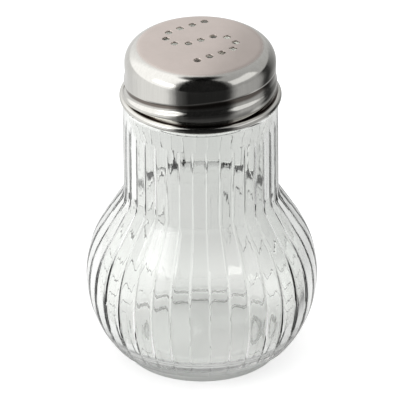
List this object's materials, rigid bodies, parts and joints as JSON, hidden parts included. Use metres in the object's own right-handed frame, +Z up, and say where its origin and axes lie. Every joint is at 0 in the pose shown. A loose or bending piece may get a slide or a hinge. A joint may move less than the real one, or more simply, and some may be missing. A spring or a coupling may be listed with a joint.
{
  "type": "salt shaker",
  "caption": "Free-standing ribbed glass salt shaker with a pressed steel screw cap that has pour holes in its top.",
  "frame": {"origin": "centre of the foot ring, on the surface that the shaker stands on", "axes": "+Z up along the axis of the bulb, neck and cap; -Y is the front, as pictured; +X to the right of the front"},
  "size_m": [0.054, 0.054, 0.08],
  "materials": {
    "glass": "clear moulded soda-lime glass, faintly green",
    "seal": "soft translucent white plastic",
    "steel": "stainless steel, satin on the top disc, polished on the wall and bead"
  },
  "bodies": {
    "glass_jar": {"glass_jar": "glass"},
    "sealing_ring": {"sealing_ring": "seal"},
    "screw_cap": {"screw_cap": "steel"}
  },
  "joints": [
    {"name": "cap_lift", "type": "slide", "parent": "glass_jar", "child": "sealing_ring", "axis": [0, 0, 1], "range_m": [0, 0.0152]},
    {"name": "cap_turn", "type": "hinge", "parent": "sealing_ring", "child": "screw_cap", "pos_m": [0, 0, 0.0774], "axis": [0, 0, 1], "range_deg": [0, 390]}
  ],
  "couplings": [
    {"joint": "cap_lift", "follows": "cap_turn", "m_per_rad": 0.0022282}
  ]
}
